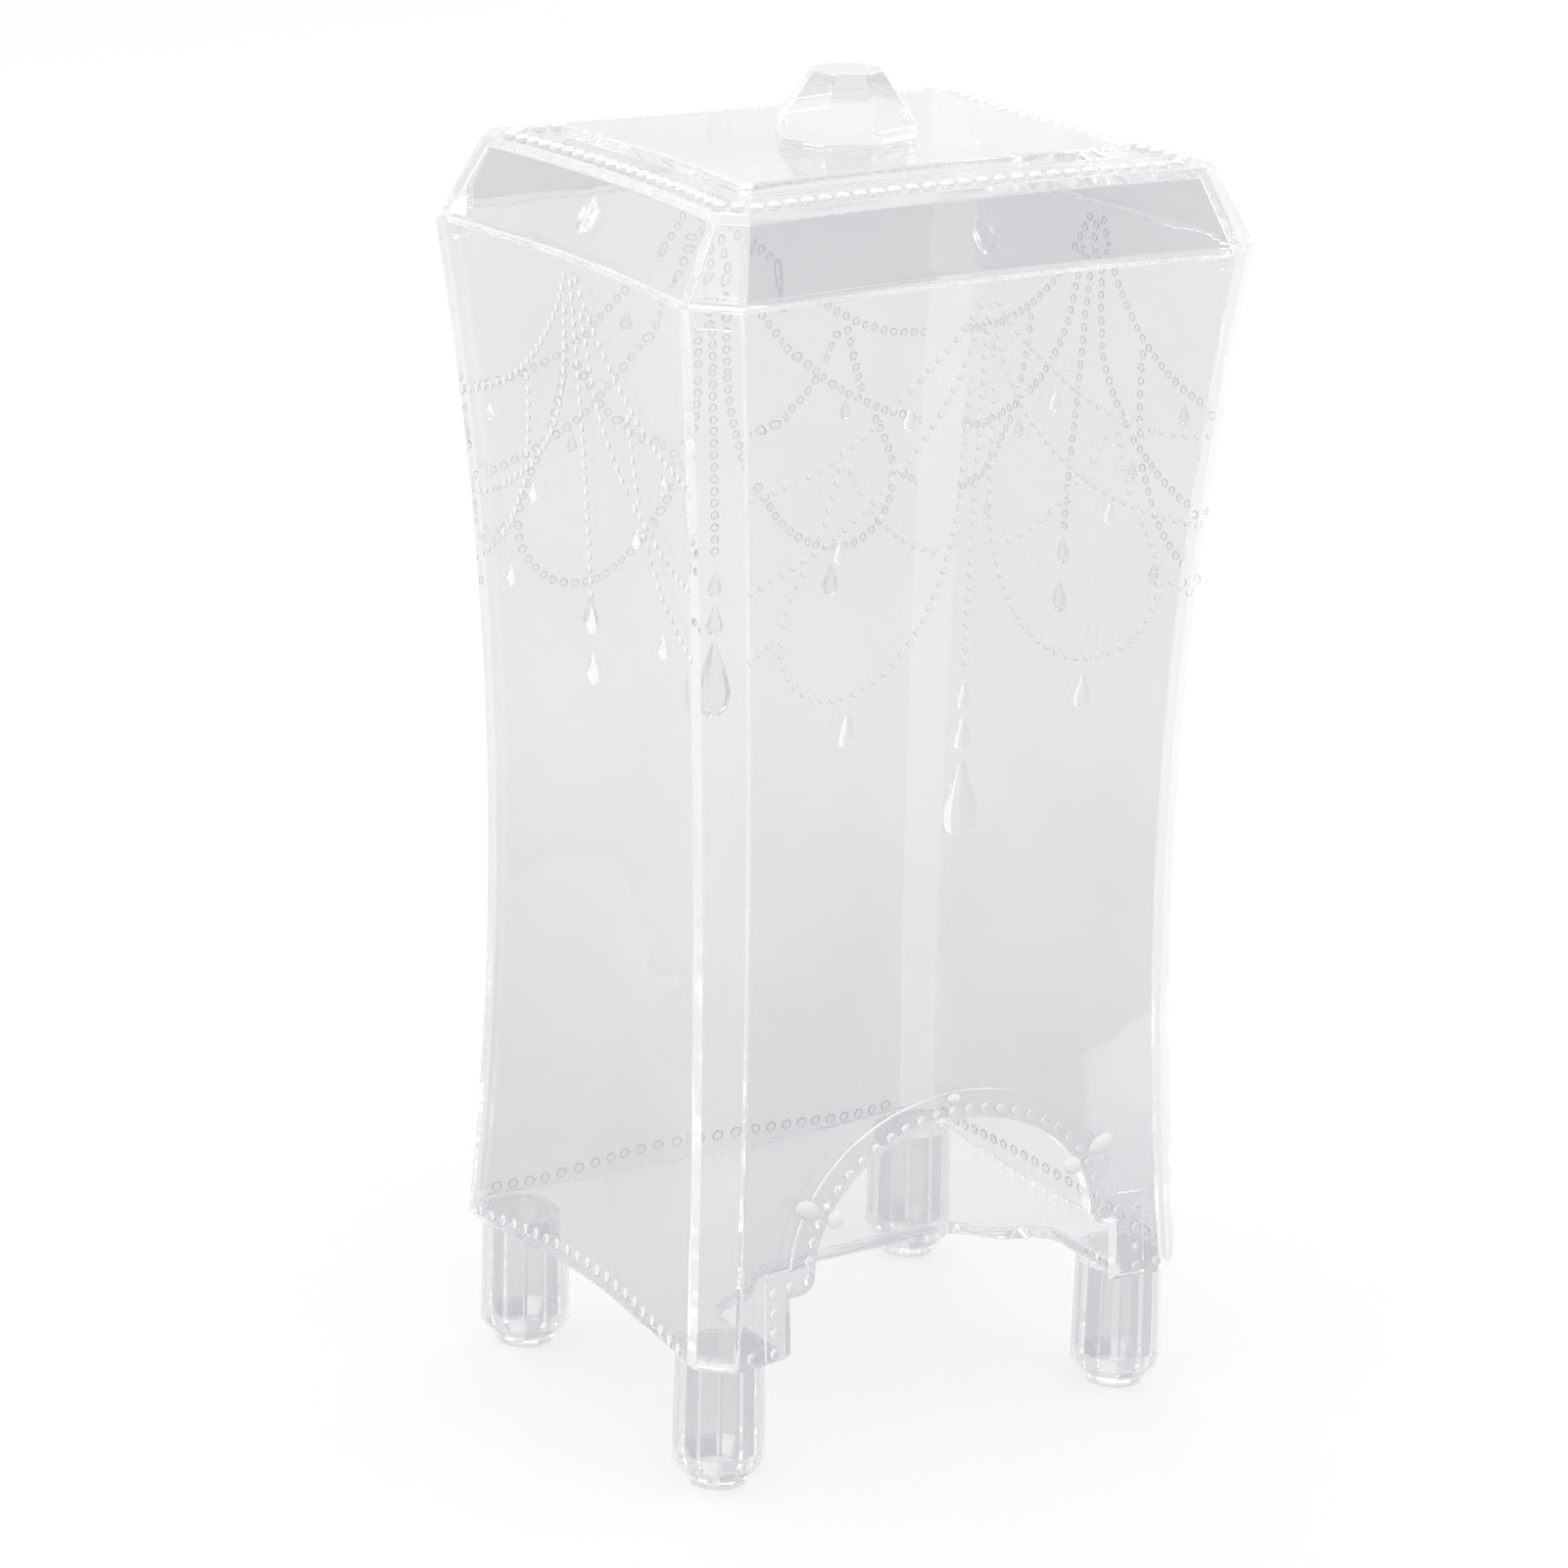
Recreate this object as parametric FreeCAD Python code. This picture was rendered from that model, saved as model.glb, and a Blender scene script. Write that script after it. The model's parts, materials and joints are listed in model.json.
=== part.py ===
"""Lidded clear-plastic cotton pad dispenser on four feet, in millimetres.

+Z is up, the arched dispensing mouth faces -Y, and the origin lies on the
standing plane, midway between the four feet.
"""
import FreeCAD
import Part
import math
import os

V = FreeCAD.Vector

# ---- body: three stations that set the waisted flare of the walls ----
rim_height = 140.0
waist_height = 66.0
skirt_height = 16.0
rim_width = 76.2
waist_width = 66.2
skirt_width = 69.2
rim_depth = 64.6
waist_depth = 56.6
skirt_depth = 60.6
rim_corner = 5.1
waist_corner = 4.6
skirt_corner = 4.3
# How far the middle of each long side of the rim stands inside the side's ends.
broad_bow = 2.2
narrow_bow = 2.0
wall = 1.7
skirt_edge_chamfer = 1.1
edge_round = 0.5
bond_film = 0.02

# ---- mouth in the front wall ----
mouth_half = 19.5
mouth_spring = 25.6
mouth_rise = 15.1
leg_half = 23.1
lobe_bottom = 24.0
lobe_radius = 1.8

# ---- arched lower edge of the other three walls ----
skirt_arch_half = 21.0
skirt_arch_rise = 1.5

# ---- floor plate and its finger cut-out ----
floor_thickness = 1.7
floor_gap = 0.05
notch_half = 12.0
notch_depth = 20.0
notch_mouth_half = 24.0
# Its curved side, from the mouth's end to the bay: (share of the way in from the mouth's side
# to the bay's side, share of the way from the mouth to the bay's straight edge).
NOTCH_SIDE = [(0, 0.45), (0.17, 0.66), (0.37, 0.71), (0.53, 0.77), (0.74, 0.92), (1, 1)]

# ---- feet ----
foot_inset_x = 6.4
foot_inset_y = 7.45
foot_sides = 12
foot_radius = 5.45
foot_top_radius = 5.25
foot_tip_radius = 3.5
foot_tip_height = 0.5
foot_bevel_height = 2.8
foot_wall = 1.3

# ---- lid ----
lid_height = 9.7
lid_top_width = 66.0
lid_top_depth = 56.0
lid_top_corner = 2.9
lid_wall = 1.8
lid_top_thickness = 1.6
panel_width = 52.2
panel_depth = 40.6
panel_corner = 1.1
panel_thickness = 1.5
lug_drop = 2.3
lug_thickness = 1.2
lug_clearance = 0.3
lid_bead_radius = 0.88
lid_bead_pitch = 2.3
lid_bead_inset = 2.3

# ---- knob: an octagonal cut gem ----
knob_sides = 8
knob_turn = -5.5
knob_radius = 8.5
knob_girdle = 1.5
knob_height = 7.4
knob_table_radius = 4.2
knob_bevel = 0.25

# ---- ornament on the lid faces ----
cabochon_width = 2.9
cabochon_length = 4.6
cabochon_height = 0.8

# ---- ornament on the body walls ----
band_width = 3.4
band_height = 0.45
arch_bead_radius = 0.65
arch_bead_pitch = 2.3
arch_bead_offset = 1.1
leg_bead_offset = 2.4
foot_bead_run = 3.0
skirt_bead_radius = 0.7
skirt_bead_pitch = 2.4
skirt_bead_margin = 2.6
skirt_bead_lift = 1.9
string_bead_radius = 0.52
string_bead_pitch = 1.5
centre_string_start = 2.5
leaf_outer_length = 3.4
leaf_inner_length = 2.3
leaf_gap = 0.15
leaf_width = 2.2
leaf_height = 0.7
leaf_angle = 27.0
crest_width = 1.8
crest_length = 1.3
crest_margin = 0.1

# Strings of beads on the right half of a wall, mirrored about its centre line.
# Each point: (share of the way from the centre line to the wall's edge, drop below the rim).
BROAD_STRINGS = [
    [(0.04, 2.4), (0.14, 6.5), (0.28, 10.5), (0.42, 14.1), (0.59, 17.3)],
    [(0.64, 18.1), (0.73, 19.2), (0.86, 20.2), (0.99, 20.8)],
    [(0.05, 6.2), (0.09, 9.8), (0.15, 13.4), (0.24, 17.2), (0.38, 21.7), (0.54, 25.4),
     (0.71, 28.2), (1, 31.4)],
    [(0.6, 19.1), (0.64, 23.0), (0.7, 27.5), (0.79, 31.9), (0.85, 35.8)],
    [(0.05, 12.2), (0.06, 18.8), (0.07, 25.8), (0.11, 31.6), (0.22, 38.9), (0.38, 43.7),
     (0.57, 45.7), (0.74, 44.6), (0.84, 41.3), (0.86, 37.9)],
    [(0.92, 37.9), (1, 39.4)],
    [(0.55, 19.5), (0.49, 22.7), (0.4, 26.0), (0.31, 28.3), (0.21, 29.9), (0.12, 30.7)],
]
NARROW_STRINGS = [
    [(0.05, 1.9), (0.17, 7.1), (0.31, 11.0), (0.44, 13.9), (0.58, 16.2), (0.74, 18.0),
     (0.98, 19.8)],
    [(0.07, 5.9), (0.1, 10.3), (0.15, 15.6), (0.26, 20.6), (0.39, 24.1)],
    [(0.44, 15.5), (0.46, 20.3), (0.5, 24.7)],
    [(0.46, 25.7), (0.63, 28.3), (0.81, 30.5), (0.99, 31.6)],
    [(0.51, 27.3), (0.58, 30.0), (0.69, 34.0), (0.84, 37.3), (1, 39.7)],
]
broad_centre_string = 44.0
narrow_centre_string = 38.5
# Hanging drops: (share of the way to the wall's edge, drop of its middle below the rim, length, width).
BROAD_DROPS = [(0.31, 14.5, 2.6, 1.5), (0.6, 28.6, 2.6, 1.4), (0.55, 49.6, 4.0, 2.1)]
NARROW_DROPS = [(0.77, 21.0, 2.4, 1.4), (0.47, 29.1, 2.4, 1.4), (0.71, 40.3, 2.6, 1.5)]
BROAD_CENTRE_DROPS = [(0, 48.0, 3.2, 1.7), (0, 52.5, 3.9, 2.0)]
NARROW_CENTRE_DROPS = [(0, 41.5, 3.2, 1.8), (0, 47.2, 3.8, 2.1)]
TEARDROP = (0, 60.0, 9.2, 4.3)
drop_sides = 6


class Flank:
    """One waisted wall line: the arc through its offsets at rim, waist and skirt.

    A long side also bows inward: its arc is swept about an upright axis outside the
    body, pivot away from the middle. A corner facet is straight across and has none.
    """

    def __init__(self, rim, waist, skirt, pivot=None):
        points = [V(rim, 0, rim_height), V(waist, 0, waist_height), V(skirt, 0, skirt_height)]
        circle = Part.Arc(*points).toShape().Curve
        self.centre = circle.Center
        self.radius = circle.Radius
        self.bulge = 1 if self.centre.x < waist else -1
        self.pivot = pivot

    def offset(self, z):
        """Distance of the wall's middle from the body's axis."""
        rise = z - self.centre.z
        return self.centre.x + self.bulge * math.sqrt(self.radius ** 2 - rise ** 2)

    def lean(self, z):
        """How fast the wall moves outward with height."""
        rise = z - self.centre.z
        return -self.bulge * rise / math.sqrt(self.radius ** 2 - rise ** 2)

    def bow(self, half, z=rim_height):
        """How far a side's middle stands inside its ends, which are half a side away."""
        sweep = self.pivot - self.offset(z)
        return sweep - math.sqrt(sweep ** 2 - half ** 2)


def bowed_flank(ends, halves, bow):
    """Flank of a long side from its end offsets and half lengths at rim, waist and skirt."""
    sweep = (halves[0] ** 2 + bow ** 2) / (2 * bow)
    pivot = ends[0] - bow + sweep
    middles = [pivot - math.hypot(pivot - end, half) for end, half in zip(ends, halves)]
    return Flank(*middles, pivot)


def diagonal(width, depth, corner):
    """Distance of a corner facet from the axis, for one station of the body."""
    return ((width + depth) / 2 - corner) / math.sqrt(2)


WIDTHS = (rim_width, waist_width, skirt_width)
DEPTHS = (rim_depth, waist_depth, skirt_depth)
CORNERS = (rim_corner, waist_corner, skirt_corner)
half_widths = [width / 2 for width in WIDTHS]
half_depths = [depth / 2 for depth in DEPTHS]
broad_halves = [half - corner for half, corner in zip(half_widths, CORNERS)]
narrow_halves = [half - corner for half, corner in zip(half_depths, CORNERS)]
BROAD = bowed_flank(half_depths, broad_halves, broad_bow)
NARROW = bowed_flank(half_widths, narrow_halves, narrow_bow)
CORNER = Flank(*[diagonal(*station) for station in zip(WIDTHS, DEPTHS, CORNERS)])
# Each side: outward direction, direction along the wall, its flank.
SIDES = {
    "front": (V(0, -1, 0), V(1, 0, 0), BROAD),
    "rear": (V(0, 1, 0), V(-1, 0, 0), BROAD),
    "left": (V(-1, 0, 0), V(0, -1, 0), NARROW),
    "right": (V(1, 0, 0), V(0, 1, 0), NARROW),
}
# Cutting shapes reach this far past the body, and are swept through this angle, past a side's ends.
FAR = rim_width
SWEEP = 60.0


def flat_half(side, z, grow=0.0):
    """Half the length of a long side between its corner facets, with the walls moved out by grow."""
    flank = SIDES[side][2]
    sweep = flank.pivot - flank.offset(z) - grow
    reach = math.sqrt(2) * (CORNER.offset(z) + grow) - flank.pivot
    return (reach + math.sqrt(2 * sweep ** 2 - reach ** 2)) / 2


# ---------------- helpers ----------------
def save(shape, node):
    shape.exportStep("parts/" + node + ".step")
    print(node, len(shape.Solids), "solid(s)", round(shape.Volume, 2), "mm3")


def flank_slab(flank, outward, grow, low, high):
    """Slab between a flank and its mirror image, bulged by grow, endless along the wall."""
    def at(sign, z):
        return outward * (sign * (flank.offset(z) + grow)) + V(0, 0, z)

    middle = (low + high) / 2
    right = Part.Arc(at(1, low), at(1, middle), at(1, high)).toShape()
    left = Part.Arc(at(-1, high), at(-1, middle), at(-1, low)).toShape()
    top = Part.makeLine(at(1, high), at(-1, high))
    bottom = Part.makeLine(at(-1, low), at(1, low))
    face = Part.Face(Part.Wire([right, top, left, bottom]))
    along = outward.cross(V(0, 0, 1))
    face.translate(along * -FAR)
    return face.extrude(along * (2 * FAR))


def beyond_wall(side, grow, low, high):
    """Everything outside a long side: its flank, moved outward by grow, swept about the far axis."""
    outward, along, flank = SIDES[side]
    levels = (low - wall, (low + high) / 2, high + wall)
    points = [outward * (flank.offset(z) + grow) + V(0, 0, z) for z in levels]
    below = outward * flank.pivot + V(0, 0, levels[0])
    above = outward * flank.pivot + V(0, 0, levels[-1])
    edges = [Part.Arc(*points).toShape(), Part.makeLine(points[-1], above)]
    edges += [Part.makeLine(above, below), Part.makeLine(below, points[0])]
    face = Part.Face(Part.Wire(edges))
    face.rotate(below, V(0, 0, 1), -SWEEP / 2)
    return face.revolve(below, V(0, 0, 1), SWEEP)


def barrel(grow, low, high):
    """The eight-sided waisted solid of the body, with every wall moved outward by grow."""
    facet = math.sqrt(0.5)
    solid = flank_slab(CORNER, V(facet, facet, 0), grow, low, high)
    solid = solid.common(flank_slab(CORNER, V(facet, -facet, 0), grow, low, high))
    for side in SIDES:
        solid = solid.cut(beyond_wall(side, grow, low, high))
    return solid.Solids[0]


def stack(rings):
    """Flat-faced solid through a stack of rings that all have the same number of points."""
    faces = [Part.Face(Part.makePolygon(ring + ring[:1])) for ring in (rings[0], rings[-1])]
    for lower, upper in zip(rings, rings[1:]):
        for here in range(len(lower)):
            after = (here + 1) % len(lower)
            loop = [lower[here], lower[after], upper[after], upper[here], lower[here]]
            faces.append(Part.Face(Part.makePolygon(loop)))
    shell = Part.makeShell(faces)
    shell.sewShape()
    solid = Part.makeSolid(shell)
    if solid.Volume < 0:
        solid.reverse()
    return solid


def ring(radius, z, sides, turn=0.0):
    """Regular polygon about the Z axis, given by its corner radius."""
    angles = [math.radians(turn + 360.0 * step / sides) for step in range(sides)]
    return [V(radius * math.cos(a), radius * math.sin(a), z) for a in angles]


def octagon(width, depth, corner, z):
    """Rectangle with cut corners."""
    x = width / 2
    y = depth / 2
    outline = [(x, y - corner), (x - corner, y), (corner - x, y), (-x, y - corner)]
    outline += [(-x, corner - y), (corner - x, -y), (x - corner, -y), (x, corner - y)]
    return [V(px, py, z) for px, py in outline]


def bowed_edges(width, depth, corner, z):
    """Octagon whose long sides bow inward like those of the rim, as a list of edges."""
    points = octagon(width, depth, corner, z)
    edges = []
    for step, start in enumerate(points):
        end = points[(step + 1) % len(points)]
        if step % 2 == 0:
            edges.append(Part.makeLine(start, end))
            continue
        flank = BROAD if step % 4 == 1 else NARROW
        middle = (start + end) * 0.5
        inward = V(-middle.x, -middle.y, 0)
        inward.normalize()
        middle += inward * flank.bow(start.distanceToPoint(end) / 2)
        edges.append(Part.Arc(start, middle, end).toShape())
    return edges


def ruled(outlines):
    """Solid with straight sides from one closed outline up to the next."""
    return Part.makeLoft([Part.Wire(edges) for edges in outlines], True, True)


def wall_prism(face, outward):
    """Cut a face drawn in the XZ plane through the front, or turned to another wall."""
    prism = face.extrude(V(0, -FAR, 0))
    turn = math.degrees(math.atan2(outward.x, -outward.y))
    prism.rotate(V(0, 0, 0), V(0, 0, 1), turn)
    return prism


def on_wall(side, u, z, lift=0.0):
    """Point on a wall's outer surface and the outward normal there."""
    outward, along, flank = SIDES[side]
    turn = math.asin(u / (flank.pivot - flank.offset(z)))
    normal = outward * math.cos(turn) - along * math.sin(turn) - V(0, 0, flank.lean(z))
    normal.normalize()
    point = outward * (flank.offset(z) + flank.bow(u, z)) + along * u + V(0, 0, z)
    return point + normal * (lift + bond_film), normal


def seat_lift(flank, width, length):
    """Lift that keeps a flat back clear of a wall that is hollow both ways."""
    sweep = flank.pivot - flank.offset(waist_height)
    return width ** 2 / (8 * sweep) + length ** 2 / (8 * flank.radius)


def dome(radius, point, normal):
    """Half-ball bead with its flat back on the surface."""
    bead = Part.makeSphere(radius, V(0, 0, 0), V(0, 0, 1), 0, 90, 360)
    bead.Placement = FreeCAD.Placement(point, FreeCAD.Rotation(V(0, 0, 1), normal))
    return bead


def spaced(edge, pitch):
    """Points along a curve, both ends included, as near to the pitch as fits."""
    count = max(2, round(edge.Length / pitch) + 1)
    return edge.discretize(Number=count)


def through(points):
    """Smooth curve through (across, height) points, laid out in the XZ plane."""
    curve = Part.BSplineCurve()
    curve.interpolate([V(across, 0, height) for across, height in points])
    return curve.toShape()


def mirrored(points):
    """Points on the right half of a wall together with their mirror images."""
    return points + [V(-p.x, p.y, p.z) for p in points]


def wall_beads(side, points, radius, lift=0.0):
    beads = [dome(radius, *on_wall(side, p.x, p.z, lift)) for p in points]
    return Part.makeCompound(beads)


def half_drop(length, width):
    """Faceted drop, point up, with a flat back in the XZ plane, bulging towards -Y."""
    def half_ring(share, z):
        step = math.pi / drop_sides
        radius = share * width / 2
        return [V(radius * math.cos(k * step), -radius * math.sin(k * step), z)
                for k in range(drop_sides + 1)]

    stations = [(0.42, 0.0), (0.86, 0.1), (1.0, 0.3), (0.72, 0.58), (0.16, 1.0)]
    return stack([half_ring(share, (level - 0.5) * length) for share, level in stations])


def wall_drop(side, share, fall, length, width):
    """Half drop hung on a wall, leaning with it."""
    outward, along, flank = SIDES[side]
    z = rim_height - fall
    u = share * flat_half(side, z)
    drop = half_drop(length, width)
    point, normal = on_wall(side, u, z, seat_lift(flank, width, length))
    lean = math.degrees(math.atan(flank.lean(z)))
    drop.rotate(V(0, 0, 0), V(1, 0, 0), lean)
    drop.rotate(V(0, 0, 0), V(0, 0, 1), math.degrees(math.atan2(normal.x, -normal.y)))
    drop.translate(point)
    return drop


def oval_dome(width, length, height):
    """Oval cabochon: half an ellipsoid, length along Y, flat back in the XY plane."""
    ball = Part.makeSphere(1.0, V(0, 0, 0), V(0, 0, 1), 0, 90, 360)
    scale = FreeCAD.Matrix()
    scale.scale(width / 2, length / 2, height)
    return ball.transformGeometry(scale)


# ---------------- body ----------------
def mouth_outline():
    """Closed face of the mouth: a tall arch that widens below its two springing lobes."""
    low = skirt_height - floor_thickness
    ellipse = Part.Ellipse(V(0, 0, 0), mouth_half, mouth_rise)
    arch = Part.ArcOfEllipse(ellipse, 0, math.pi).toShape()
    arch.rotate(V(0, 0, 0), V(1, 0, 0), 90)
    arch.translate(V(0, 0, mouth_spring))
    lobe_x = mouth_half + lobe_radius
    lobe_z = lobe_bottom + lobe_radius
    bend = lobe_radius * math.sqrt(0.5)
    edges = [arch]
    for sign in (1, -1):
        spring = V(sign * mouth_half, 0, mouth_spring)
        side = V(sign * mouth_half, 0, lobe_z)
        under = V(sign * lobe_x, 0, lobe_bottom)
        corner = V(sign * leg_half, 0, lobe_bottom)
        foot = V(sign * leg_half, 0, low)
        middle = V(sign * (lobe_x - bend), 0, lobe_z - bend)
        edges.append(Part.makeLine(spring, side))
        edges.append(Part.Arc(side, middle, under).toShape())
        edges.append(Part.makeLine(under, corner))
        edges.append(Part.makeLine(corner, foot))
    edges.append(Part.makeLine(V(leg_half, 0, low), V(-leg_half, 0, low)))
    return Part.Face(Part.Wire(Part.__sortEdges__(edges)))


def skirt_arch_face():
    """Shallow arch cut from the lower edge of a wall."""
    low = skirt_height - skirt_arch_rise
    start = V(-skirt_arch_half, 0, skirt_height)
    top = V(0, 0, skirt_height + skirt_arch_rise)
    end = V(skirt_arch_half, 0, skirt_height)
    corner_a = V(skirt_arch_half, 0, low)
    corner_b = V(-skirt_arch_half, 0, low)
    edges = [Part.Arc(start, top, end).toShape()]
    edges.append(Part.makeLine(end, corner_a))
    edges.append(Part.makeLine(corner_a, corner_b))
    edges.append(Part.makeLine(corner_b, start))
    return Part.Face(Part.Wire(edges))


def body_shell():
    outer = barrel(0.0, skirt_height, rim_height)
    lower = [e for e in outer.Edges if e.BoundBox.ZMax < skirt_height + bond_film]
    outer = outer.makeChamfer(skirt_edge_chamfer, lower).Solids[0]
    uprights = [e for e in outer.Edges if e.BoundBox.ZLength > rim_height / 2]
    outer = outer.makeFillet(edge_round, uprights).Solids[0]
    shell = outer.cut(barrel(-wall, skirt_height - wall, rim_height + wall))
    shell = shell.cut(wall_prism(mouth_outline(), SIDES["front"][0]))
    for side in ("rear", "left", "right"):
        shell = shell.cut(wall_prism(skirt_arch_face(), SIDES[side][0]))
    return shell


def notch_face():
    """Finger cut-out of the floor: a wide mouth that steps in to a deep straight bay."""
    front = -BROAD.offset(skirt_height) + wall
    back = front + notch_depth
    ahead = front - notch_depth
    half = [(notch_mouth_half + (notch_half - notch_mouth_half) * inward, front + notch_depth * along)
            for inward, along in NOTCH_SIDE]
    edges = []
    for sign in (1, -1):
        curve = Part.BSplineCurve()
        curve.interpolate([V(sign * x, y, 0) for x, y in half])
        edges.append(curve.toShape())
        edges.append(Part.makeLine(V(sign * notch_mouth_half, half[0][1], 0),
                                   V(sign * notch_mouth_half, ahead, 0)))
    edges.append(Part.makeLine(V(notch_half, back, 0), V(-notch_half, back, 0)))
    edges.append(Part.makeLine(V(notch_mouth_half, ahead, 0), V(-notch_mouth_half, ahead, 0)))
    return Part.Face(Part.Wire(Part.__sortEdges__(edges)))


def floor_plate():
    plate = barrel(-wall - floor_gap, skirt_height, skirt_height + floor_thickness)
    notch = notch_face().extrude(V(0, 0, skirt_height + 2 * floor_thickness))
    return plate.cut(notch)


def foot(x, y):
    """Twelve-sided hollow post with a bevelled tip, open under the floor plate."""
    top = skirt_height - bond_film
    outer = stack([
        ring(foot_tip_radius, 0, foot_sides),
        ring(foot_tip_radius, foot_tip_height, foot_sides),
        ring(foot_radius, foot_bevel_height, foot_sides),
        ring(foot_top_radius, top, foot_sides),
    ])
    bore = stack([
        ring(foot_tip_radius - foot_wall / 2, foot_tip_height + foot_wall, foot_sides),
        ring(foot_radius - foot_wall, foot_bevel_height + foot_wall, foot_sides),
        ring(foot_top_radius - foot_wall, top, foot_sides),
    ])
    post = outer.cut(bore)
    post.translate(V(x, y, 0))
    return post


# ---------------- ornament on the body ----------------
def arch_path(offset):
    """Right half of an arch that runs at an offset outside the mouth, apex first."""
    ellipse = Part.Ellipse(V(0, 0, 0), mouth_half + offset, mouth_rise + offset)
    arch = Part.ArcOfEllipse(ellipse, 0, math.pi / 2).toShape()
    arch.rotate(V(0, 0, 0), V(1, 0, 0), 90)
    arch.translate(V(0, 0, mouth_spring))
    return arch


def band_face():
    """Outline of the raised band's arch: the mouth's arch moved out by the band's width."""
    reach = mouth_half + band_width
    arch = Part.ArcOfEllipse(Part.Ellipse(V(0, 0, 0), reach, mouth_rise + band_width), 0, math.pi)
    edge = arch.toShape()
    edge.rotate(V(0, 0, 0), V(1, 0, 0), 90)
    edge.translate(V(0, 0, mouth_spring))
    base = Part.makeLine(V(reach, 0, mouth_spring), V(-reach, 0, mouth_spring))
    return Part.Face(Part.Wire([edge, base]))


def band_legs_face():
    """The band where it runs out over the lobes and down both legs."""
    half = leg_half + band_width
    top = lobe_bottom + band_width
    low = skirt_height + skirt_edge_chamfer
    corners = [V(-half, 0, low), V(half, 0, low), V(half, 0, top), V(-half, 0, top)]
    return Part.Face(Part.makePolygon(corners + corners[:1]))


def arch_moulding():
    outward = SIDES["front"][0]
    prism = wall_prism(band_face(), outward).fuse(wall_prism(band_legs_face(), outward))
    prism = prism.cut(wall_prism(mouth_outline(), outward))
    skin = barrel(bond_film + band_height, skirt_height, rim_height)
    skin = skin.cut(barrel(bond_film, skirt_height, rim_height))
    return prism.common(skin)


def arch_beads():
    """Beads along the arch, out over the lobes, down both legs and a little way along the skirt."""
    arch = spaced(arch_path(arch_bead_offset), arch_bead_pitch)
    start = V(mouth_half + arch_bead_offset, 0, mouth_spring)
    corner = V(leg_half + leg_bead_offset, 0, lobe_bottom + arch_bead_offset)
    foot_end = V(corner.x, 0, skirt_height + skirt_bead_lift)
    last = foot_end + V(foot_bead_run, 0, 0)
    path = arch
    for low, high in ((start, corner), (corner, foot_end)):
        path += spaced(Part.makeLine(low, high), arch_bead_pitch)[1:]
    half = [p for p in path if p.x > arch_bead_radius]
    centre = [V(0, 0, mouth_spring + mouth_rise + arch_bead_offset)]
    on_band = wall_beads("front", centre + mirrored(half), arch_bead_radius, band_height + bond_film)
    beside = mirrored(spaced(Part.makeLine(foot_end, last), arch_bead_pitch)[1:])
    return Part.makeCompound([on_band, wall_beads("front", beside, arch_bead_radius)])


def leaf(sign):
    """Leaf across the band, low on one flank of the arch: a lobe on each side of the beads."""
    angle = math.radians(leaf_angle)
    lobes = []
    for length, side in ((leaf_outer_length, 1), (leaf_inner_length, -1)):
        offset = arch_bead_offset + side * (arch_bead_radius + leaf_gap + length / 2)
        u = sign * (mouth_half + offset) * math.cos(angle)
        z = mouth_spring + (mouth_rise + offset) * math.sin(angle)
        lobe = oval_dome(leaf_width, length, leaf_height)
        turn = sign * (leaf_angle - 90)
        lobes.append(laid_on_wall(lobe, "front", u, z, turn, band_height + bond_film))
    return Part.makeCompound(lobes)


def crest():
    """Small oval stone at the crown of the band, above the middle bead."""
    z = mouth_spring + mouth_rise + band_width - crest_length / 2 - crest_margin
    shape = oval_dome(crest_width, crest_length, leaf_height)
    return laid_on_wall(shape, "front", 0, z, 0, band_height + bond_film)


def laid_on_wall(shape, side, u, z, tilt, lift):
    """Lay an ornament modelled in the XY plane on a wall, turned by tilt in the wall."""
    point, normal = on_wall(side, u, z, lift)
    shape.rotate(V(0, 0, 0), V(0, 0, 1), tilt)
    shape.rotate(V(0, 0, 0), V(1, 0, 0), 90)
    lean = math.degrees(math.atan(SIDES[side][2].lean(z)))
    shape.rotate(V(0, 0, 0), V(1, 0, 0), lean)
    shape.rotate(V(0, 0, 0), V(0, 0, 1), math.degrees(math.atan2(normal.x, -normal.y)))
    shape.translate(point)
    return shape


def skirt_beads(side):
    """Row of beads that follows the arched lower edge of a wall."""
    start = V(-skirt_arch_half, 0, skirt_height)
    top = V(0, 0, skirt_height + skirt_arch_rise)
    end = V(skirt_arch_half, 0, skirt_height)
    last = V(flat_half(side, skirt_height) - skirt_bead_margin, 0, skirt_height)
    points = spaced(Part.Arc(start, top, end).toShape(), skirt_bead_pitch)
    if last.x > end.x + skirt_bead_pitch / 2:
        points += mirrored(spaced(Part.makeLine(end, last), skirt_bead_pitch)[1:])
    for p in points:
        p.z += skirt_bead_lift
    return wall_beads(side, points, skirt_bead_radius)


def apart(points, gap):
    """The points, without those that crowd an earlier one where two strings cross."""
    kept = []
    for point in points:
        if all(point.distanceToPoint(other) > gap for other in kept):
            kept.append(point)
    return kept


def festoon(side, strings, centre_string):
    """All the bead strings of one wall."""
    half = []
    for string in strings:
        levels = [(share, rim_height - fall) for share, fall in string]
        curve = through([(share * flat_half(side, z), z) for share, z in levels])
        half += spaced(curve, string_bead_pitch)
    top = V(0, 0, rim_height - centre_string_start)
    centre = Part.makeLine(top, V(0, 0, rim_height - centre_string))
    points = mirrored(half) + spaced(centre, string_bead_pitch)
    return wall_beads(side, apart(points, 2 * string_bead_radius), string_bead_radius)


def pendants(side, pairs, centre):
    """The drops under the strings of one wall."""
    drops = [wall_drop(side, *drop) for drop in centre]
    for share, fall, length, width in pairs:
        drops += [wall_drop(side, sign * share, fall, length, width) for sign in (1, -1)]
    return Part.makeCompound(drops)


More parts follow.
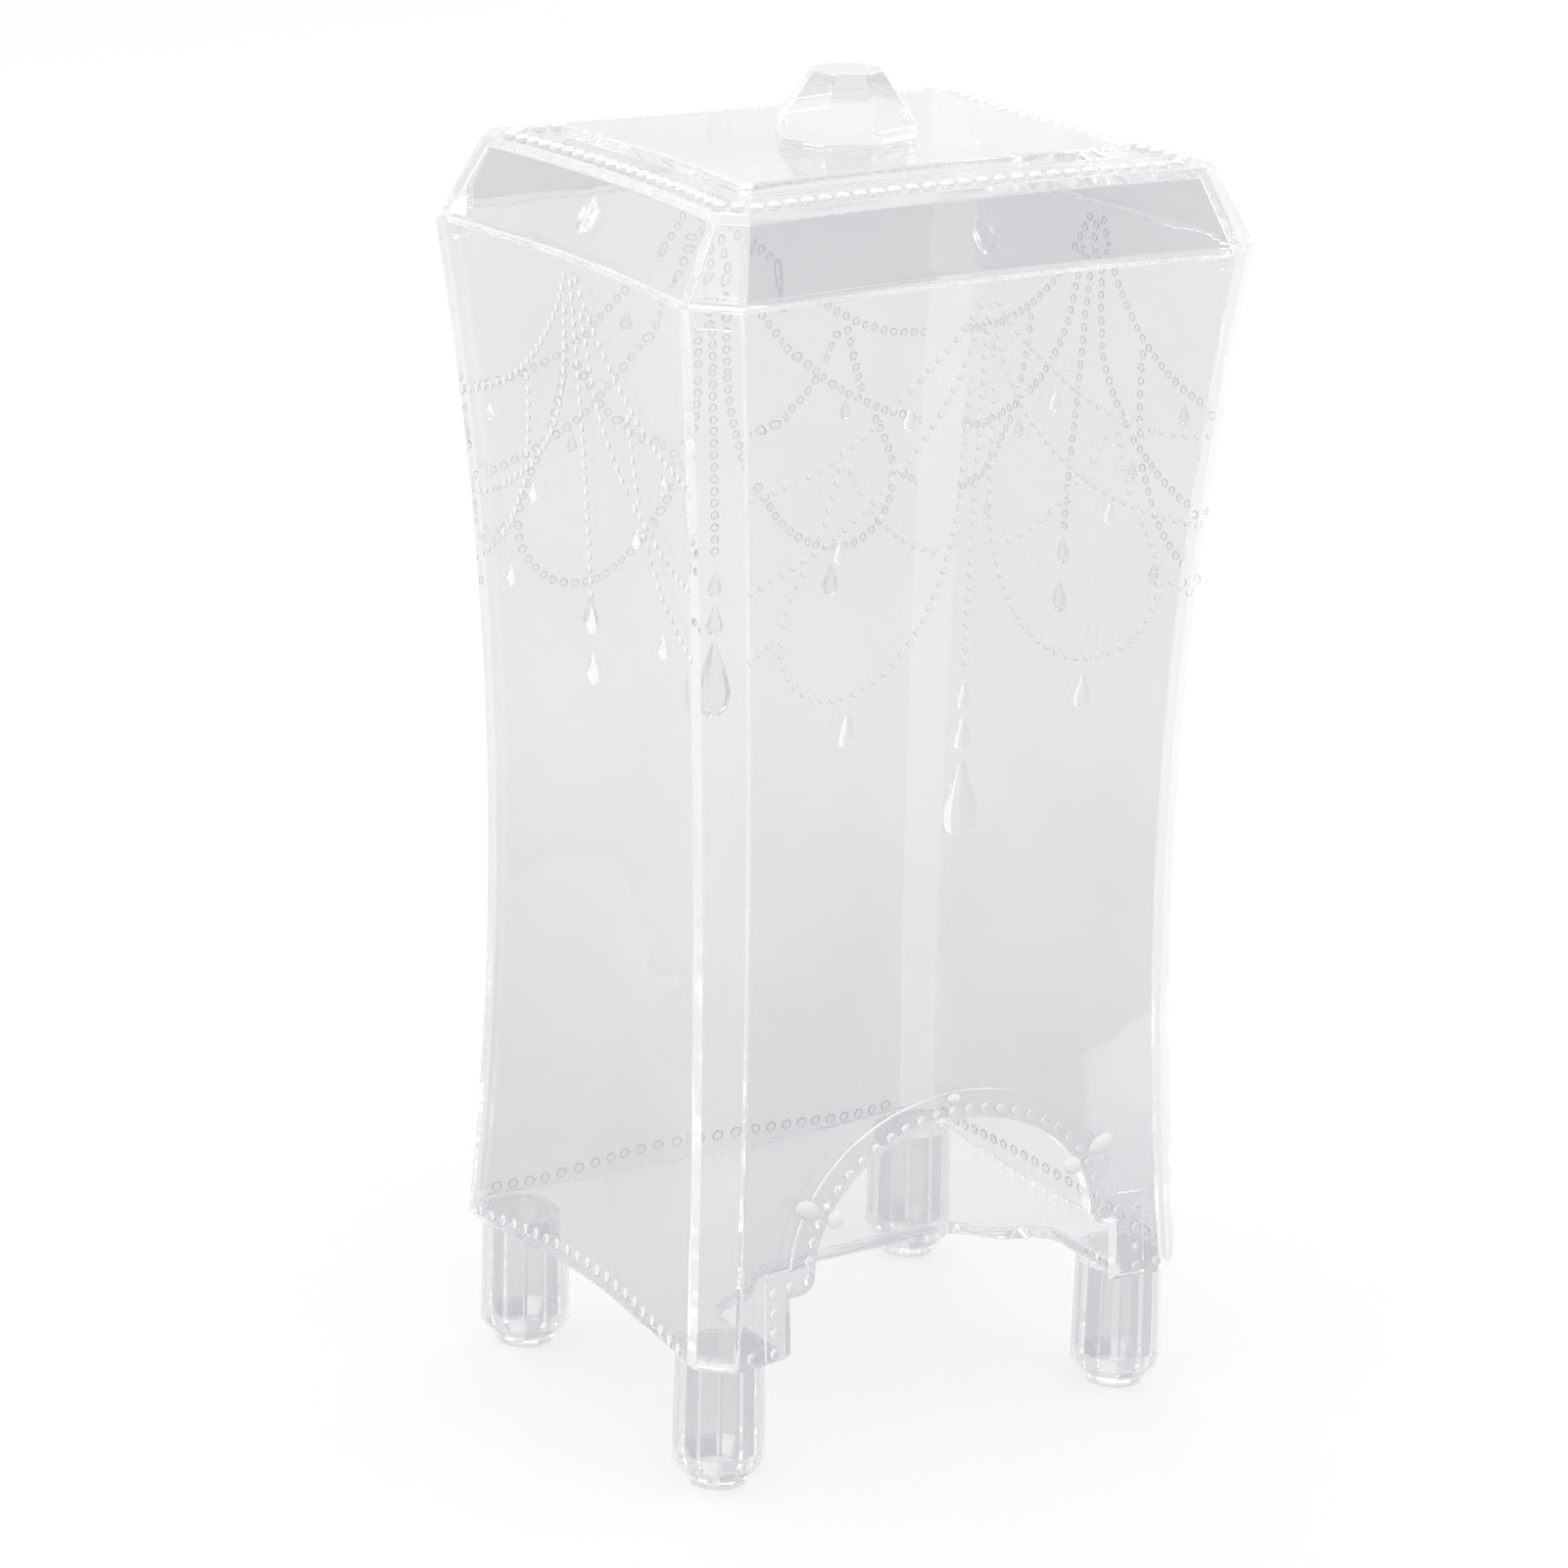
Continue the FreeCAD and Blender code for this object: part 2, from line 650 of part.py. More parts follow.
# ---------------- lid ----------------
def lid_ring(share, inset, z):
    """Outline of the lid between its rim (share 0) and its top (share 1)."""
    width = rim_width + (lid_top_width - rim_width) * share
    depth = rim_depth + (lid_top_depth - rim_depth) * share
    corner = rim_corner + (lid_top_corner - rim_corner) * share
    corner -= inset * (2 - math.sqrt(2))
    return bowed_edges(width - 2 * inset, depth - 2 * inset, corner, z)


lid_base = rim_height + bond_film
lid_top = lid_base + lid_height
panel_top = lid_top + bond_film + panel_thickness


def lid_space():
    """The hollow inside the lid."""
    share = 1 - lid_top_thickness / lid_height
    return ruled([lid_ring(0, lid_wall, lid_base), lid_ring(share, lid_wall, lid_top - lid_top_thickness)])


def lid_shell():
    outer = ruled([lid_ring(0, 0, lid_base), lid_ring(1, 0, lid_top)])
    return outer.cut(lid_space())


def lid_top_panel():
    low = lid_top + bond_film
    return ruled([bowed_edges(panel_width, panel_depth, panel_corner, z) for z in (low, panel_top)])


def knob():
    """Octagonal cut gem: straight girdle, tapered crown, flat table."""
    base = panel_top + bond_film
    table = base + knob_height
    return stack([
        ring(knob_radius, base, knob_sides, knob_turn),
        ring(knob_radius, base + knob_girdle, knob_sides, knob_turn),
        ring(knob_table_radius + knob_bevel, table - knob_bevel, knob_sides, knob_turn),
        ring(knob_table_radius, table, knob_sides, knob_turn),
    ])


def lid_bead_border():
    """Beads on the flat margin of the lid top, round the raised panel."""
    loop = bowed_edges(lid_top_width - 2 * lid_bead_inset, lid_top_depth - 2 * lid_bead_inset,
                       lid_top_corner, lid_top + bond_film)
    beads = []
    for edge in loop:
        for p in spaced(edge, lid_bead_pitch)[:-1]:
            beads.append(dome(lid_bead_radius, p, V(0, 0, 1)))
    return Part.makeCompound(beads)


def lid_cabochon(side):
    """Oval stone at the middle of a sloping lid face."""
    outward, along, flank = SIDES[side]
    if flank is BROAD:
        low = rim_depth / 2 - flank.bow(rim_width / 2 - rim_corner)
        high = lid_top_depth / 2 - flank.bow(lid_top_width / 2 - lid_top_corner)
    else:
        low = rim_width / 2 - flank.bow(rim_depth / 2 - rim_corner)
        high = lid_top_width / 2 - flank.bow(lid_top_depth / 2 - lid_top_corner)
    run = low - high
    reach = (low + high) / 2
    normal = outward * lid_height + V(0, 0, run)
    normal.normalize()
    stone = oval_dome(cabochon_width, cabochon_length, cabochon_height)
    stone.rotate(V(0, 0, 0), V(1, 0, 0), math.degrees(math.atan2(lid_height, run)))
    stone.rotate(V(0, 0, 0), V(0, 0, 1), math.degrees(math.atan2(outward.x, -outward.y)))
    stone.translate(outward * reach + V(0, 0, lid_base + lid_height / 2) + normal * bond_film)
    return stone


def lid_lug(sign_x, sign_y):
    """Locating lug that hangs inside a corner of the body and runs up into the lid."""
    low = rim_height - lug_drop
    face = CORNER.offset(low) - wall - lug_clearance
    broad_half, narrow_half = [flat_half(side, low, -wall) for side in ("rear", "right")]
    middle = sign_x * sign_y * (narrow_half - broad_half) / math.sqrt(2)
    facet = 2 * (CORNER.offset(low) - wall) - math.sqrt(2) * (broad_half + narrow_half)
    width = facet - 2 * lug_clearance
    slab = Part.makeBox(lug_thickness, width, lug_drop + lid_height,
                        V(face - lug_thickness, middle - width / 2, low))
    slab.rotate(V(0, 0, 0), V(0, 0, 1), math.degrees(math.atan2(sign_y, sign_x)))
    above = Part.makeBox(2 * FAR, 2 * FAR, FAR, V(-FAR, -FAR, lid_base))
    room = lid_space()
    room.translate(V(0, 0, -bond_film))
    return slab.cut(above.cut(room)).Solids[0]


def main():
    os.makedirs("parts", exist_ok=True)
    save(body_shell(), "body_shell")
    save(floor_plate(), "floor_plate")
    foot_x = skirt_width / 2 - foot_inset_x
    foot_y = skirt_depth / 2 - foot_inset_y
    for end, sign_y in (("front", -1), ("rear", 1)):
        for hand, sign_x in (("left", -1), ("right", 1)):
            save(foot(sign_x * foot_x, sign_y * foot_y), "foot_" + end + "_" + hand)
            save(lid_lug(sign_x, sign_y), "lid_lug_" + end + "_" + hand)
    save(arch_moulding(), "arch_moulding")
    save(arch_beads(), "arch_beads")
    save(leaf(-1), "arch_leaf_left")
    save(leaf(1), "arch_leaf_right")
    save(crest(), "arch_crest")
    for side in ("rear", "left", "right"):
        save(skirt_beads(side), "skirt_beads_" + side)
    for side in ("front", "rear"):
        save(festoon(side, BROAD_STRINGS, broad_centre_string), "festoon_" + side)
        save(pendants(side, BROAD_DROPS, BROAD_CENTRE_DROPS), "pendants_" + side)
        save(wall_drop(side, *TEARDROP), "teardrop_" + side)
    for side in ("left", "right"):
        save(festoon(side, NARROW_STRINGS, narrow_centre_string), "festoon_" + side)
        save(pendants(side, NARROW_DROPS, NARROW_CENTRE_DROPS), "pendants_" + side)
    save(lid_shell(), "lid_shell")
    save(lid_top_panel(), "lid_top_panel")
    save(knob(), "lid_knob")
    save(lid_bead_border(), "lid_bead_border")
    for side in SIDES:
        save(lid_cabochon(side), "lid_cabochon_" + side)


main()
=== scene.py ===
# %% [markdown]
# # A clear plastic cotton pad holder
#
# The real object is injection moulded from clear styrene: a tall waisted shell with an arched
# mouth, a floor plate, four post feet and a lid with a cut-gem knob. Strings of moulded beads
# hang on its walls. Nothing on it is coloured, so its whole look is light passing through
# walls, bending at edges and sparkling in beads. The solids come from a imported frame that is
# never moved. This lesson gives them real plastic, rounds where their edges leave room, and a
# studio.

# %% Load the frame
import json
import math

import bmesh
import bpy
from mathutils import Matrix, Vector


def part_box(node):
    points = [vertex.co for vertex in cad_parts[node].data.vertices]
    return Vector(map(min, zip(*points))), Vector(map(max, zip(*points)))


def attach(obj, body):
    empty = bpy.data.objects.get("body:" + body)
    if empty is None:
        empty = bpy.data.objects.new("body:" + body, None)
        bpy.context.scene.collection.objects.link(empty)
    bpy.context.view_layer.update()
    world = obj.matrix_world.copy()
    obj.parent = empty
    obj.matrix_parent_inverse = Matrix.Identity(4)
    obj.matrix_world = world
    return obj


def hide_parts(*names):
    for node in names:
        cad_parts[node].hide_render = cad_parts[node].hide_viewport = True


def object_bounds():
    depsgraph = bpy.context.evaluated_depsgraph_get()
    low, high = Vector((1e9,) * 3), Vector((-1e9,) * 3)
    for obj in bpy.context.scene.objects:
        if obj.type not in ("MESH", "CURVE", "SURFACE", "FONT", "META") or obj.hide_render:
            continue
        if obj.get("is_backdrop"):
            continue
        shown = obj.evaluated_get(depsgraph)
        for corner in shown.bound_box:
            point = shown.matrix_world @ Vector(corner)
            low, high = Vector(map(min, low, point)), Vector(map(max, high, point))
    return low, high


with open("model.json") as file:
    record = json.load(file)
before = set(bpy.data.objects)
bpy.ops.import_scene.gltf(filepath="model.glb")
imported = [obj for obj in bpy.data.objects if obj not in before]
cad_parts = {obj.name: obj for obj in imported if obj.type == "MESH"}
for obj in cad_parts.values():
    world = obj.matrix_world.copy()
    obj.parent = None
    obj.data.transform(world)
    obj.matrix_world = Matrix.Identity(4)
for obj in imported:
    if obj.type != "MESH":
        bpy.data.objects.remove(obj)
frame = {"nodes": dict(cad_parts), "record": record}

MM = 0.001
cad_low, cad_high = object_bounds()
nodes = frame["nodes"]
slots = {part["node"]: part["material_slot"] for part in frame["record"]["subparts"]}
bodies = frame["record"]["behaviour"]["bodies"]
body_of = {node: body for body, members in bodies.items() for node in members}
frame_size = [round((high - low) / MM, 1) for low, high in zip(cad_low, cad_high)]
print("the frame measures", frame_size, "mm")

# %% [markdown]
# ## The camera
#
# A long lens, a little above the object and to its left, shows the mouth's wall on the right
# and the narrow wall on the left. A camera could be aimed with a constraint, but three angles
# make its own axes directly, and then nothing has to be evaluated before the render.

# %% Camera
FRAME_SIDE = 1601
camera_place = Vector((-305.6, -470.3, 254.5)) * MM
camera_turn = math.radians(-32.454)
camera_height_angle = math.radians(17.872)
camera_roll = math.radians(1.146)
focal_pixels = 5095.0

back = Vector((
    math.sin(camera_turn) * math.cos(camera_height_angle),
    -math.cos(camera_turn) * math.cos(camera_height_angle),
    math.sin(camera_height_angle),
))
level_right = Vector((math.cos(camera_turn), math.sin(camera_turn), 0.0))
level_up = back.cross(level_right)
right = level_right * math.cos(camera_roll) + level_up * math.sin(camera_roll)
up = level_up * math.cos(camera_roll) - level_right * math.sin(camera_roll)

camera_data = bpy.data.cameras.new("camera")
camera_data.sensor_width = 36.0
camera_data.lens = camera_data.sensor_width * focal_pixels / FRAME_SIDE
camera = bpy.data.objects.new("camera", camera_data)
camera_axes = Matrix((right, up, back)).transposed().to_4x4()
camera.matrix_world = Matrix.Translation(camera_place) @ camera_axes
bpy.context.scene.collection.objects.link(camera)
bpy.context.scene.camera = camera
print("lens", round(camera_data.lens, 1), "mm, distance", round(camera_place.length / MM), "mm")

# %% [markdown]
# ## The clear plastic
#
# Clear styrene isn't quite clear, so where two walls lie behind each other the grey is deeper
# than where there is one. A plain glass shader would vanish on a white ground. A Principled
# shader with full transmission and a pale grey base colour keeps some of that grey. How grey a
# face is comes from an attribute on its faces, from 0 for the clear tint to 1 for the dense
# one. Besides the plastic's tint, that attribute holds painted light set by the way each face
# points: the corners, the level faces and the rim are painted lighter, as painted highlights,
# and the lid's broad slopes darker, as painted shade. One colour for each piece would be
# simpler, but then the corners and the rim would be as grey as the walls. Volume absorption
# would follow the thickness by itself, but a wall of even thickness would then be one even
# grey. The attribute is also painted darker towards the foot, a painted shade, and is uneven
# in soft patches.
#
# Moulded walls are never flat either, so a low, broad bump makes what lies behind them swim a
# little, and a finer noise varies the gloss. Rays on their way to a lamp pass straight on
# through a Transparent shader, since a path tracer would otherwise give the plastic the
# shadow of a solid block.
#
# The leaves and the crest are frosted, and so is the foot of each bead, where the frosted white
# is partly a real crease and partly a painted highlight for the bright ring that bent lamp
# light draws. That plastic mostly scatters light back like paper, and a small milky share of
# it scatters light through, so that a bead seen from behind its wall isn't black.

# %% Plastic material
TINT_AND_PAINTED_LIGHT_ATTRIBUTE = "plastic_density"
NOISE_LOW, NOISE_HIGH = 0.3, 0.7
# Painted shade: from 95 mm down to 25 mm above the ground the tint is made up to 1.65 times
# denser.
PAINTED_SHADE_FROM, PAINTED_SHADE_TO = 95 * MM, 25 * MM
DEEPEST_PAINTED_SHADE = 1.65
UNEVEN = 0.06
GLOSS_PATCH_SHARE = 1 / 6
SHADOW_TINT = (0.96, 0.965, 0.97, 1.0)


def noise(tree, size, detail, coordinates):
    """Noise on the piece's own coordinates, with patches of about the given size."""
    texture = tree.nodes.new("ShaderNodeTexNoise")
    texture.inputs["Scale"].default_value = 1.0 / size
    texture.inputs["Detail"].default_value = detail
    tree.links.new(coordinates, texture.inputs["Vector"])
    return texture.outputs["Fac"]


def spread(tree, value, low, high):
    """Stretch the middle of a noise over the range low to high."""
    stretch = tree.nodes.new("ShaderNodeMapRange")
    stretch.inputs["From Min"].default_value = NOISE_LOW
    stretch.inputs["From Max"].default_value = NOISE_HIGH
    stretch.inputs["To Min"].default_value = low
    stretch.inputs["To Max"].default_value = high
    tree.links.new(value, stretch.inputs["Value"])
    return stretch.outputs["Result"]


def tint_and_painted_light(tree, own, patch):
    """The tint and painted light attribute, with painted shade deepening it near the foot,
    uneven in soft patches.
    """
    stored = tree.nodes.new("ShaderNodeAttribute")
    stored.attribute_name = TINT_AND_PAINTED_LIGHT_ATTRIBUTE
    place = tree.nodes.new("ShaderNodeSeparateXYZ")
    tree.links.new(own, place.inputs[0])
    # Painted shade: the stored value is multiplied up towards the foot.
    painted_shade_by_height = tree.nodes.new("ShaderNodeMapRange")
    painted_shade_by_height.interpolation_type = "SMOOTHSTEP"
    painted_shade_by_height.inputs["From Min"].default_value = PAINTED_SHADE_FROM
    painted_shade_by_height.inputs["From Max"].default_value = PAINTED_SHADE_TO
    painted_shade_by_height.inputs["To Min"].default_value = 1.0
    painted_shade_by_height.inputs["To Max"].default_value = DEEPEST_PAINTED_SHADE
    tree.links.new(place.outputs["Z"], painted_shade_by_height.inputs["Value"])
    with_painted_shade = tree.nodes.new("ShaderNodeMath")
    with_painted_shade.operation = "MULTIPLY"
    tree.links.new(stored.outputs["Fac"], with_painted_shade.inputs[0])
    tree.links.new(painted_shade_by_height.outputs["Result"], with_painted_shade.inputs[1])
    uneven = tree.nodes.new("ShaderNodeMath")
    uneven.operation = "ADD"
    uneven.use_clamp = True
    tree.links.new(with_painted_shade.outputs[0], uneven.inputs[0])
    patches = spread(tree, noise(tree, patch, 4.0, own), -UNEVEN, UNEVEN)
    tree.links.new(patches, uneven.inputs[1])
    return uneven.outputs[0]


def clear_plastic(name, clear, dense, patch, ripple, ripple_size, gloss=(0.0, 0.04), ior=1.54,
                  passes=1.0, milky=0.0):
    """See-through plastic. Its tint and painted light value, from 0 to 1, picks a tint between
    clear and dense.
    """
    material = bpy.data.materials.new(name)
    material.use_nodes = True
    tree = material.node_tree
    tree.nodes.clear()
    own = tree.nodes.new("ShaderNodeTexCoord").outputs["Object"]
    tint = tree.nodes.new("ShaderNodeMix")
    tint.data_type = "RGBA"
    tint.inputs[6].default_value = (*clear, 1.0)
    tint.inputs[7].default_value = (*dense, 1.0)
    tree.links.new(tint_and_painted_light(tree, own, patch), tint.inputs[0])
    bump = tree.nodes.new("ShaderNodeBump")
    bump.inputs["Distance"].default_value = ripple
    bump.inputs["Strength"].default_value = 1.0
    tree.links.new(noise(tree, ripple_size, 2.0, own), bump.inputs["Height"])
    plastic = tree.nodes.new("ShaderNodeBsdfPrincipled")
    plastic.inputs["Transmission Weight"].default_value = passes
    plastic.inputs["IOR"].default_value = ior
    tree.links.new(tint.outputs[2], plastic.inputs["Base Color"])
    fine = noise(tree, patch * GLOSS_PATCH_SHARE, 2.0, own)
    tree.links.new(spread(tree, fine, *gloss), plastic.inputs["Roughness"])
    tree.links.new(bump.outputs["Normal"], plastic.inputs["Normal"])
    surface = plastic.outputs[0]
    if milky:
        scatter = tree.nodes.new("ShaderNodeBsdfTranslucent")
        scatter.inputs["Color"].default_value = (*clear, 1.0)
        blend = tree.nodes.new("ShaderNodeMixShader")
        blend.inputs[0].default_value = milky
        tree.links.new(surface, blend.inputs[1])
        tree.links.new(scatter.outputs[0], blend.inputs[2])
        surface = blend.outputs[0]
    passing = tree.nodes.new("ShaderNodeBsdfTransparent")
    passing.inputs["Color"].default_value = SHADOW_TINT
    path = tree.nodes.new("ShaderNodeLightPath")
    either = tree.nodes.new("ShaderNodeMixShader")
    tree.links.new(path.outputs["Is Shadow Ray"], either.inputs[0])
    tree.links.new(surface, either.inputs[1])
    tree.links.new(passing.outputs[0], either.inputs[2])
    output = tree.nodes.new("ShaderNodeOutputMaterial")
    tree.links.new(either.outputs[0], output.inputs["Surface"])
    return material


wall_plastic = clear_plastic(
    "wall_plastic", (0.985, 0.985, 0.985), (0.675, 0.69, 0.705),
    30 * MM, 0.05 * MM, 30 * MM)
bead_plastic = clear_plastic(
    "bead_plastic", (0.98, 0.98, 0.98), (0.94, 0.945, 0.95),
    8 * MM, 0.01 * MM, 3 * MM, ior=1.45)
drop_plastic = clear_plastic(
    "drop_plastic", (0.95, 0.955, 0.96), (0.91, 0.92, 0.93),
    6 * MM, 0.01 * MM, 4 * MM, ior=1.45)
gem_plastic = clear_plastic(
    "gem_plastic", (0.93, 0.935, 0.94), (0.82, 0.83, 0.84),
    12 * MM, 0.01 * MM, 8 * MM, ior=1.59)
# Frosted white plastic: real on the leaves and crest; on each bead's foot it is partly a painted
# highlight.
frosted_plastic = clear_plastic(
    "frosted_plastic", (1.0, 1.0, 1.0), (0.955, 0.96, 0.965),
    4 * MM, 0.02 * MM, 1 * MM, gloss=(0.3, 0.45), passes=0.1, milky=0.2)
MATERIALS = {
    "clear_wall_plastic": wall_plastic,
    "clear_bead_plastic": bead_plastic,
    "clear_crystal_plastic": gem_plastic,
}
print(len(bpy.data.materials), "plastics")

# %% [markdown]
# ## Rounded edges
#
# A mould can't make a knife edge, and on clear plastic the small round along each edge is what
# draws the bright line. Each CAD node is copied, its loose triangles are joined, flat ones are
# merged into whole faces, and the sharp edges are bevelled. A Bevel shader node would only
# fake that round; real faces also bend the light that goes through.
#
# Bevel has a trap. With clamp_overlap it quietly narrows every round until the tightest one
# fits, so one very short edge can shrink them all to nothing. Without it the faces fold over
# each other, and clear plastic turns black there. So the wide round at the lid's rim is made
# first, before narrow rounds leave short edges in its way, and every piece prints how wide
# its rounds came out. The shell has edges a hundredth of a millimetre long, and the band round
# the mouth is as tight, so these two stay unrounded and their shading breaks at each corner.

# %% Round the edges of a copy
def finished(name, mesh_source, node_names, sharp_from, plastics=()):
    """Turn a bmesh into a piece that stands for CAD nodes: shaded, given its plastics, attached
    to their body, with the nodes hidden.
    """
    mesh = bpy.data.meshes.new(name)
    mesh_source.to_mesh(mesh)
    mesh_source.free()
    mesh.shade_smooth()
    mesh.set_sharp_from_angle(angle=math.radians(sharp_from))
    piece = bpy.data.objects.new(name, mesh)
    bpy.context.scene.collection.objects.link(piece)
    weigh = piece.modifiers.new("flat_faces_stay_flat", "WEIGHTED_NORMAL")
    weigh.mode = "FACE_AREA"
    weigh.weight = 100
    weigh.keep_sharp = True
    slot = slots[node_names[0]]
    for plastic in plastics or (MATERIALS[slot],):
        mesh.materials.append(plastic)
    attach(piece, body_of[node_names[0]])
    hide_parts(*node_names)
    return piece


WALL_DENSITY = 0.35
# Painted light by face direction: level faces, wall corners and the lid's slope corners get less
# tint than the walls and show lighter, as painted highlights, and the lid's broad slopes get
# more, as painted shade.
LEVEL_FACE_PAINTED_LIGHT = 0.06
FLOOR_LEVEL_PAINTED_LIGHT = 0.2
FOOT_DENSITY = 0.37
RIM_PAINTED_HIGHLIGHT = 0.0
SLOPE_CORNER_PAINTED_HIGHLIGHT = 0.05
BROAD_SLOPE_PAINTED_SHADE, NARROW_SLOPE_PAINTED_SHADE = 0.85, 0.36
CORNER_PAINTED_HIGHLIGHT_SHARE = 0.6
LEVEL_FROM, SLOPE_FROM = 0.9, 0.3
SHARP_ANGLE = math.radians(25)
ROUNDED_SHADING, PLAIN_SHADING, DOME_SHADING = 60.0, 20.0, 50.0
rim_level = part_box("lid_shell")[0][2]


def tint_and_painted_light_of_face(normal, walls, level):
    """Tint of a face with painted light by its direction: painted lighter on level faces and
    corners, painted shade on the lid's broad slopes.
    """
    across, along, rise = (abs(part) for part in normal)
    if rise > LEVEL_FROM:
        return level
    if min(across, along) > 0.5 * max(across, along):
        return SLOPE_CORNER_PAINTED_HIGHLIGHT if rise > SLOPE_FROM else CORNER_PAINTED_HIGHLIGHT_SHARE * walls
    if rise > SLOPE_FROM:
        return BROAD_SLOPE_PAINTED_SHADE if along > across else NARROW_SLOPE_PAINTED_SHADE
    return walls


def set_tint_and_painted_light(skin, walls, level):
    """Store the tint and painted light on every face."""
    layer = skin.faces.layers.float.new(TINT_AND_PAINTED_LIGHT_ATTRIBUTE)
    for face in skin.faces:
        face[layer] = tint_and_painted_light_of_face(face.normal, walls, level)


def on_rim(edge):
    """Whether this level edge goes round the outside of the rim, where lid and body meet."""
    middle = (edge.verts[0].co + edge.verts[1].co) / 2
    level = all(abs(corner.co.z - rim_level) < 0.1 * MM for corner in edge.verts)
    return level and any(abs(face.normal.z) < LEVEL_FROM and face.normal.xy.dot(middle.xy) > 0.0
                         for face in edge.link_faces)


def round_edges(skin, edges, width, tint_and_painted_light):
    """Bevel these edges, give the new faces a tint and painted light value, and return them with
    their mean width.
    """
    length = sum(edge.calc_length() for edge in edges)
    new_faces = bmesh.ops.bevel(
        skin, geom=edges, offset=width, offset_type="OFFSET", segments=2, profile=0.5,
        affect="EDGES", clamp_overlap=True, material=-1)["faces"]
    layer = skin.faces.layers.float[TINT_AND_PAINTED_LIGHT_ATTRIBUTE]
    for face in new_faces:
        face[layer] = tint_and_painted_light
    return new_faces, sum(face.calc_area() for face in new_faces) / length


def joined_copy(node):
    """The node's triangles as one closed skin of whole flat faces."""
    skin = bmesh.new()
    skin.from_mesh(nodes[node].data)
    bmesh.ops.remove_doubles(skin, verts=skin.verts, dist=1e-6)
    bmesh.ops.dissolve_limit(
        skin, angle_limit=math.radians(0.2), verts=skin.verts, edges=skin.edges)
    return skin


def sharp_edges(skin):
    """Edges where two faces meet at a corner."""
    return [e for e in skin.edges if e.is_manifold and e.calc_face_angle() > SHARP_ANGLE]


def rounded_copy(node, name, width, rim_width=0.0, walls=WALL_DENSITY, level=LEVEL_FACE_PAINTED_LIGHT,
                 plastics=()):
    """Copy a node, bevel its rim by a width of its own, then its other sharp edges."""
    skin = joined_copy(node)
    set_tint_and_painted_light(skin, walls, level)
    sharp = sharp_edges(skin)
    rim = [e for e in sharp if rim_width and on_rim(e)]
    rim_faces, made = set(), []
    if rim:
        # Painted highlight: the round along the rim gets no tint at all.
        new_faces, face_width = round_edges(skin, rim, rim_width, RIM_PAINTED_HIGHLIGHT)
        rim_faces.update(new_faces)
        made.append(face_width)
        sharp = sharp_edges(skin)
    if width:
        others = [e for e in sharp if not rim_faces.intersection(e.link_faces)]
        made.append(round_edges(skin, others, width, walls)[1])
    faces = len(skin.faces)
    shading = ROUNDED_SHADING if width else PLAIN_SHADING
    piece = finished(name, skin, [node], shading, plastics)
    print(name, faces, "faces, rounds measure",
          [round(value / MM, 3) for value in made], "mm across")
    return piece


ROUNDED = {
    "body_shell": ("walls", 0.0, 0.0),
    "lid_shell": ("lid", 0.2, 1.2),
    "lid_top_panel": ("lid_panel", 0.3, 0.0),
    "lid_knob": ("knob", 0.25, 0.0),
    "arch_moulding": ("mouth_band", 0.0, 0.0),
}
for node, (name, width, rim_width) in ROUNDED.items():
    rounded_copy(node, name, width * MM, rim_width * MM)
rounded_copy("floor_plate", "floor", 0.3 * MM, level=FLOOR_LEVEL_PAINTED_LIGHT)

# %% Feet and lugs
for node in [n for n in nodes if n.startswith("foot_")]:
    rounded_copy(node, node + "_moulded", 0.12 * MM, walls=FOOT_DENSITY)
for node in [n for n in nodes if n.startswith("lid_lug_")]:
    lug_name = node.replace("lid_", "") + "_moulded"
    rounded_copy(node, lug_name, 0.2 * MM, plastics=(bead_plastic,))

# %% [markdown]
# ## Beads
#
# Hundreds of small domes sit on the walls. A hemisphere made once, flattened and copied to
# each place, has only a few dozen faces, where the CAD surface has hundreds. Each place is
# read from the frame: a CAD bead's largest flat face is its back, which gives the centre, the
# way out of the wall and the radius. A clear dome alone would hardly show on a clear wall, so
# the ring of faces at its foot is frosted white: partly the crease round a moulded bead, and
# partly a painted highlight for the bright ring that bent lamp light draws round each bead.

# %% Find the beads of a node
def islands(skin):
    """Separate groups of connected faces, in the mesh's own order."""
    seen = set()
    for first in skin.faces:
        if first in seen:
            continue
        seen.add(first)
        group = [first]
        for face in group:
            for near in (other for edge in face.edges for other in edge.link_faces):
                if near not in seen:
                    seen.add(near)
                    group.append(near)
        yield group


def bead_places(node):
    """Centre, outward direction and radius of each bead, from its flat back."""
    skin = joined_copy(node)
    places = []
    for group in islands(skin):
        back_face = max(group, key=lambda face: face.calc_area())
        radius = math.sqrt(back_face.calc_area() / math.pi)
        places.append((back_face.calc_center_median(), -back_face.normal, radius))
    skin.free()
    return places


def corners_of(geometry):
    """Only the vertices among mixed geometry."""
    return [part for part in geometry if isinstance(part, bmesh.types.BMVert)]


